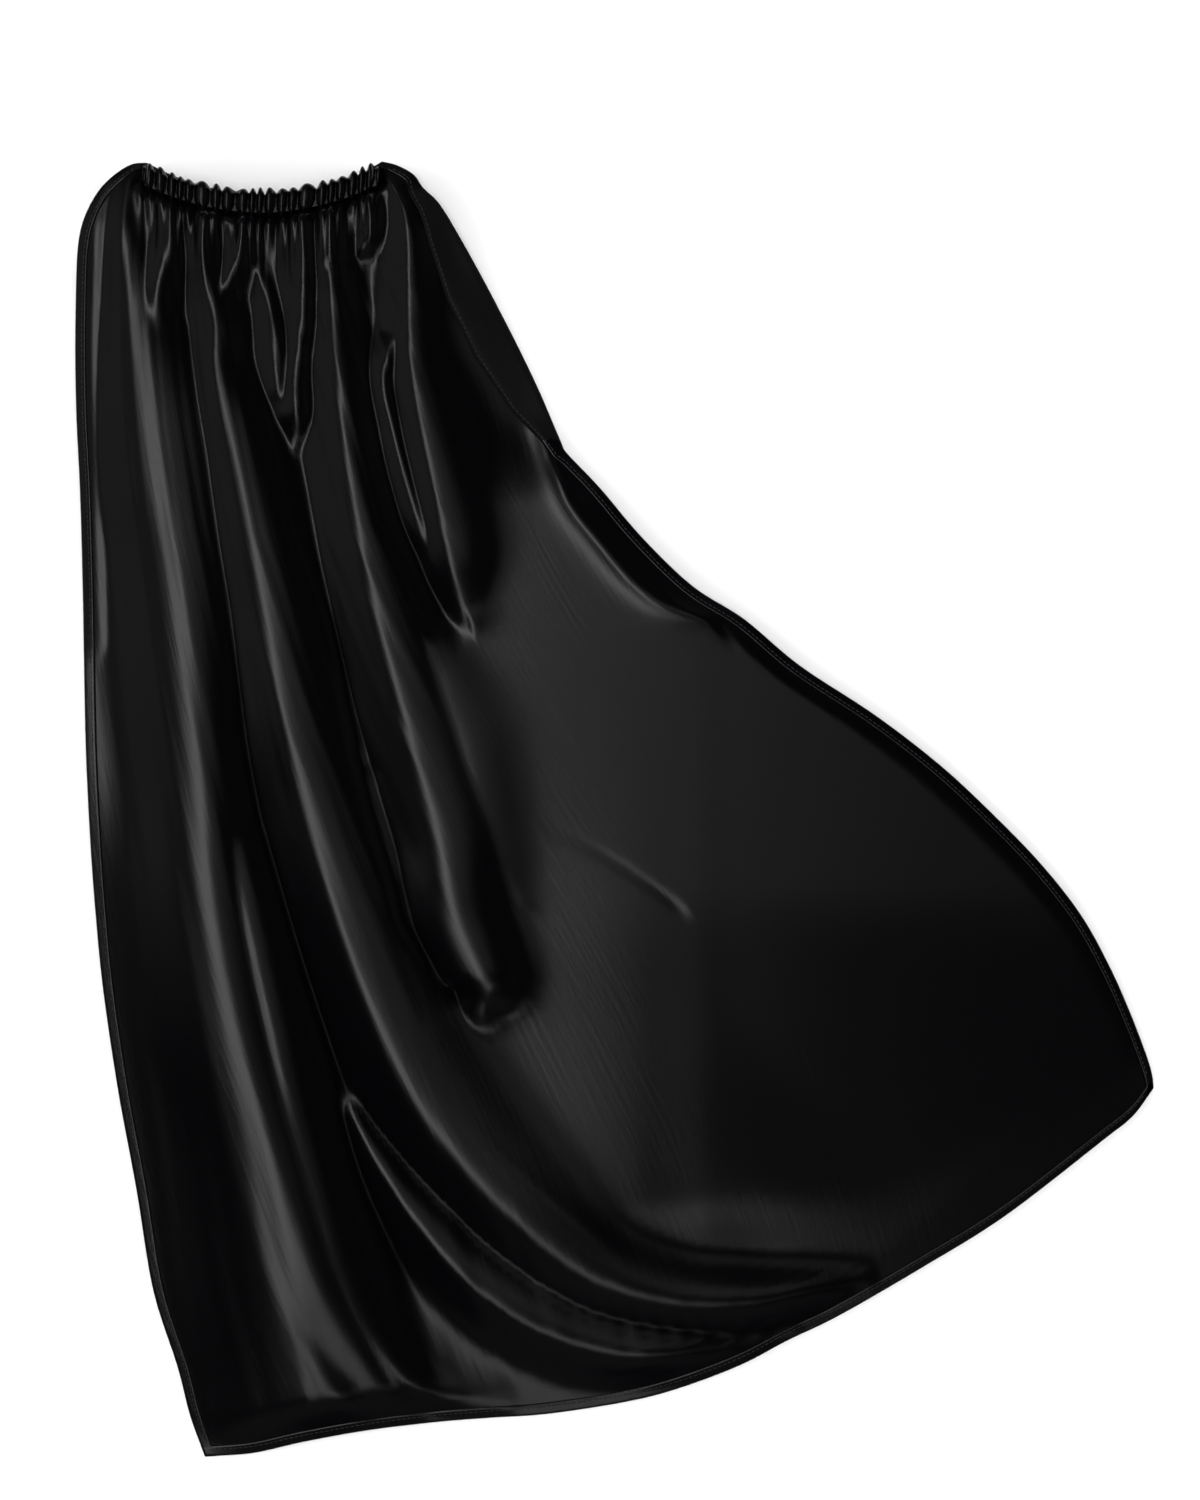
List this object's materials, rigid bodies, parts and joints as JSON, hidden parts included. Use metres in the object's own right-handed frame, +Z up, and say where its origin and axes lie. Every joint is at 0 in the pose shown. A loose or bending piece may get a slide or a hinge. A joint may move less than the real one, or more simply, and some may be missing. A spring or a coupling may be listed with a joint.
{
  "type": "superhero cape",
  "caption": "Child's black satin cape laid flat, its neck gathered on elastic in a casing, with narrow stitched hems and a hook-and-loop neck closure folded under it.",
  "frame": {"origin": "bottom centre of the whole cape as it lies flat on the floor", "axes": "+Y from the tail to the neck, +X to the right as the outer side is seen from above, +Z up from the floor"},
  "size_m": [0.5826, 0.6979, 0.023],
  "materials": {
    "satin": "gloss",
    "strap_satin": "satin",
    "thread": "satin",
    "elastic": "matte",
    "hook_tape": "matte",
    "loop_tape": "matte"
  },
  "bodies": {
    "cape": {"cape_panel": "satin", "left_side_hem": "satin", "right_side_hem": "satin", "bottom_hem": "satin", "left_hem_stitching": "thread", "right_hem_stitching": "thread", "bottom_hem_stitching": "thread"},
    "neck": {"gathered_top": "satin", "neck_casing": "satin", "neck_elastic": "elastic", "casing_stitching": "thread", "left_bar_tack": "thread", "right_bar_tack": "thread"},
    "hook_side": {"hook_strap": "strap_satin", "hook_tape": "hook_tape", "hook_tape_stitching": "thread"},
    "loop_side": {"loop_strap": "strap_satin", "loop_tape": "loop_tape", "loop_tape_stitching": "thread"}
  },
  "joints": [
    {"name": "neck_lift", "type": "hinge", "parent": "cape", "child": "neck", "pos_m": [-0.19, 0.312, 0.0122], "axis": [1, 0, 0], "range_deg": [0, 90]},
    {"name": "hook_strap_swing", "type": "hinge", "parent": "neck", "child": "hook_side", "pos_m": [-0.246, 0.33587, 0.0044], "axis": [0, 0, 1], "range_deg": [0, 110]},
    {"name": "loop_strap_swing", "type": "hinge", "parent": "neck", "child": "loop_side", "pos_m": [-0.134, 0.33587, 0.0009], "axis": [0, 0, -1], "range_deg": [0, 110]}
  ]
}
